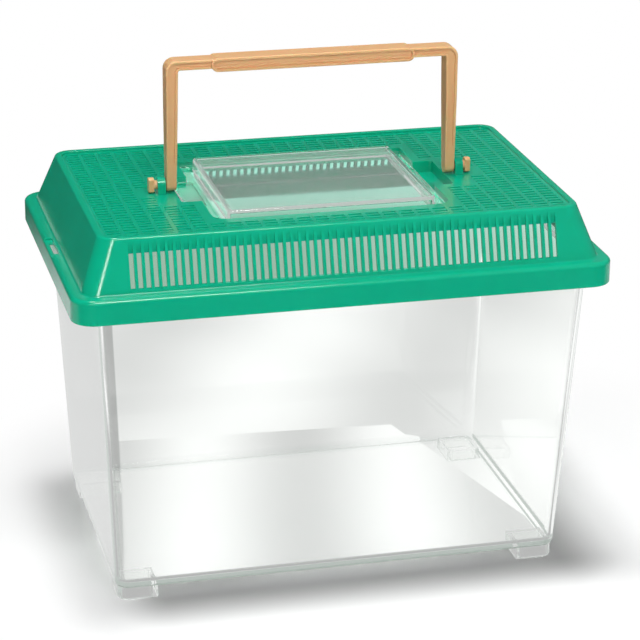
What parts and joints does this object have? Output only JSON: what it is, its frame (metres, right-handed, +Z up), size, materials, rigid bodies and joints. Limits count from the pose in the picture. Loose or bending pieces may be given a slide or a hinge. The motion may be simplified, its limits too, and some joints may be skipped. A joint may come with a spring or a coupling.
{
  "type": "plastic pet keeper",
  "caption": "Clear tapered tub on corner feet, with a vented press-on lid, a clear hinged feeding hatch sunk in the lid and a folding carrying handle.",
  "frame": {"origin": "centre of the footprint, on the plane that the feet stand on", "axes": "+X along the width to the right, +Y to the hatch's hinge side at the back, +Z up"},
  "size_m": [0.3, 0.196, 0.2871],
  "materials": {
    "tub_clear": "polished clear polystyrene",
    "lid_green": "glossy green polypropylene",
    "hatch_clear": "polished clear polystyrene",
    "handle_tan": "satin tan polypropylene"
  },
  "bodies": {
    "tub": {"tub": "tub_clear"},
    "lid": {"lid": "lid_green"},
    "hatch": {"hatch": "hatch_clear"},
    "handle": {"handle": "handle_tan"}
  },
  "joints": [
    {"name": "lid_lift", "type": "slide", "parent": "tub", "child": "lid", "axis": [0, 0, 1], "range_m": [0, 0.06]},
    {"name": "hatch_hinge", "type": "hinge", "parent": "lid", "child": "hatch", "pos_m": [0, 0.0466, 0.2077], "axis": [-1, 0, 0], "range_deg": [0, 45]},
    {"name": "handle_hinge", "type": "hinge", "parent": "lid", "child": "handle", "pos_m": [0, -0.005, 0.2155], "axis": [1, 0, 0], "range_deg": [-86, 86]}
  ]
}
